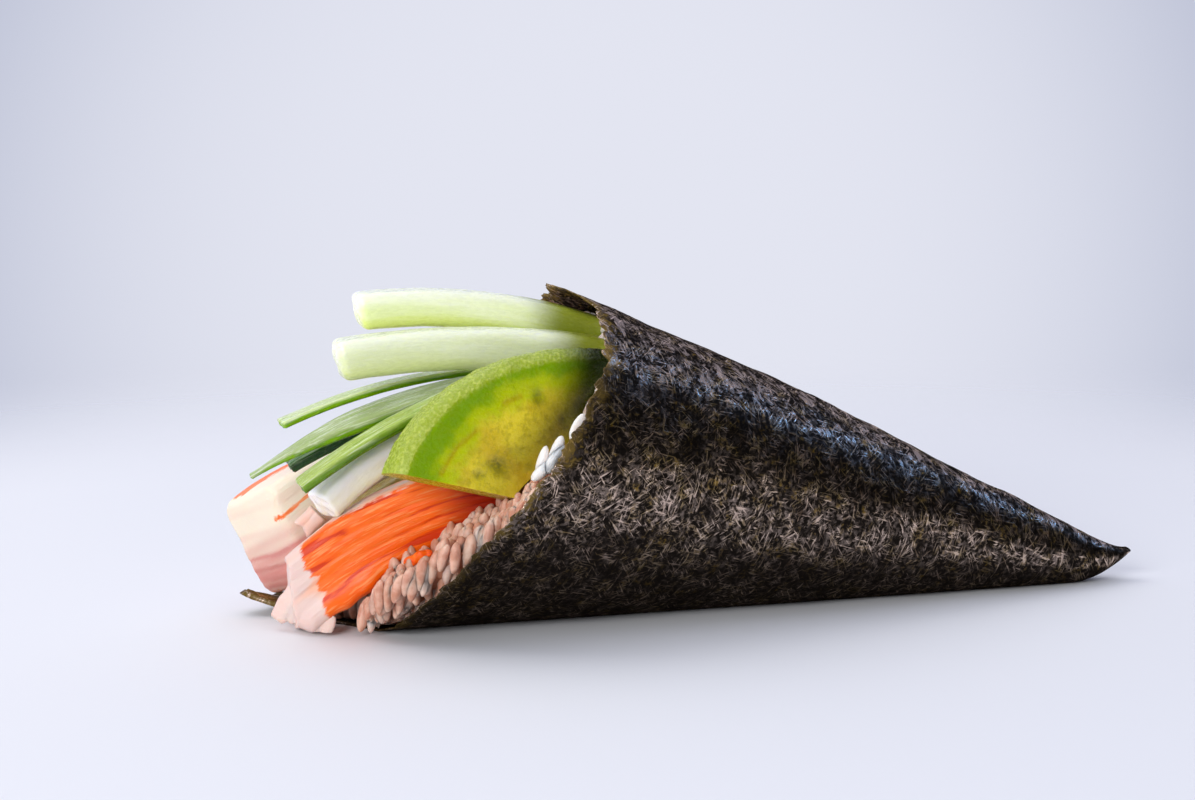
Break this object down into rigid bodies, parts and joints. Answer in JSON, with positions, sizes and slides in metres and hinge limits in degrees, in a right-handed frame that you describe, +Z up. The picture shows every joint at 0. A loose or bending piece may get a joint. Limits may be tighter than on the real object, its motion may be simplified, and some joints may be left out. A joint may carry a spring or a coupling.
{
  "type": "temaki hand roll",
  "caption": "Sushi hand roll lying on its side: a cone of dark nori round rice, with cucumber, avocado and crab sticks fanning out of its mouth.",
  "frame": {"origin": "on the table under the middle of the roll's bounding box", "axes": "+X from the mouth to the point of the cone, +Z up, -Y the side with the avocado slice"},
  "size_m": [0.1748, 0.0652, 0.0603],
  "materials": {
    "nori": "dry, fibrous, faintly glossy",
    "rice": "moist, translucent",
    "cucumber": "wet, pale green",
    "cucumber_heart": "wet, milky",
    "cucumber_skin": "wet, green skin on pale flesh",
    "avocado": "soft satin, green at the skin and yellow inside",
    "crab": "moist fibres, orange outside and cream inside"
  },
  "bodies": {
    "root": {"nori_wrap": "nori", "rice": "rice", "cucumber_top": "cucumber", "cucumber_second": "cucumber", "strip_far": "cucumber_skin", "strip_pointed": "cucumber_skin", "strip_dark": "cucumber_skin", "strip_near": "cucumber_skin", "stick_pale": "cucumber_heart", "stick_shaded": "cucumber", "crab_near": "crab", "crab_far": "crab", "crab_flake": "crab", "avocado_slice": "avocado"}
  },
  "joints": []
}
